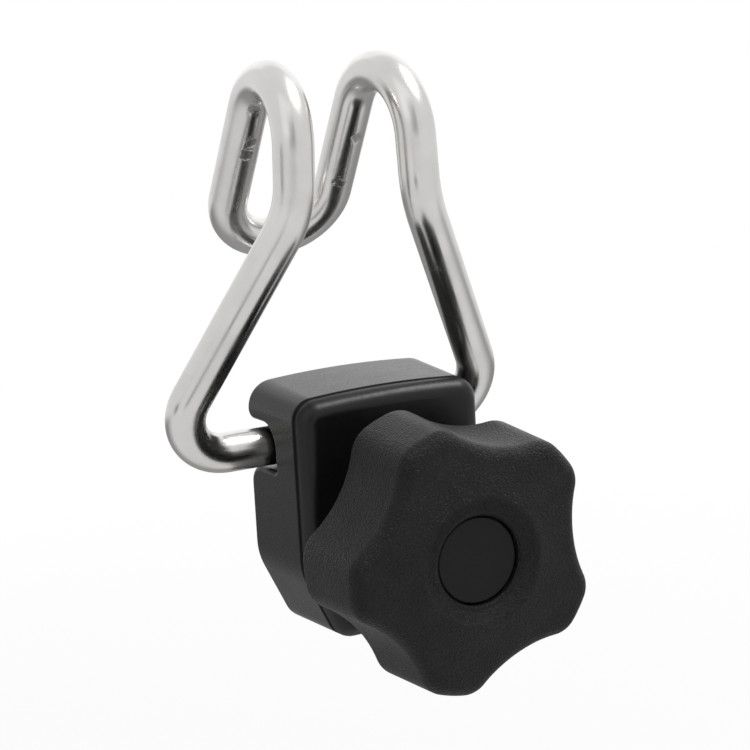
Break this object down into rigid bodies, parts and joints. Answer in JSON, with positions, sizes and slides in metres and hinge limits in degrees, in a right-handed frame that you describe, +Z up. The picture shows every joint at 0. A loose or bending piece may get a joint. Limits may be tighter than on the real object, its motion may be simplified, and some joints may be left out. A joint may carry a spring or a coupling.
{
  "type": "lashing hook",
  "caption": "Rail-clamp lashing hook: a bent round-wire hook swings in a moulded block that a star knob, bolt and slot nut draw onto a slotted rail.",
  "frame": {"origin": "where the bolt's axis meets the rail seat, the back face of the block", "axes": "+Z up, +X along the rail and the bail's bar, +Y from the knob at the front towards the rail behind"},
  "size_m": [0.0732, 0.0778, 0.1202],
  "materials": {
    "stainless_wire": "polished",
    "body_plastic": "satin",
    "cover_plastic": "gloss",
    "knob_plastic": "fine grain",
    "cap_plastic": "satin",
    "steel_hardware": "zinc plated"
  },
  "bodies": {
    "clamp": {"clamp_body": "body_plastic", "front_cover": "cover_plastic", "thrust_washer": "steel_hardware"},
    "knob": {"star_knob": "knob_plastic", "knob_cap": "cap_plastic", "clamp_bolt": "steel_hardware"},
    "nut": {"slot_nut": "steel_hardware"},
    "bail": {"hook_bail": "stainless_wire"}
  },
  "joints": [
    {"name": "bail_swing", "type": "hinge", "parent": "clamp", "child": "bail", "pos_m": [-0.0055, -0.0058, 0.016], "axis": [1, 0, 0], "range_deg": [-110, 48]},
    {"name": "knob_turn", "type": "hinge", "parent": "clamp", "child": "knob", "pos_m": [0, 0, 0], "axis": [0, -1, 0], "range_deg": [0, 1440]},
    {"name": "nut_travel", "type": "slide", "parent": "clamp", "child": "nut", "axis": [0, 1, 0], "range_m": [0, 0.005]}
  ],
  "couplings": [
    {"joint": "nut_travel", "follows": "knob_turn", "m_per_rad": 0.00019894}
  ]
}
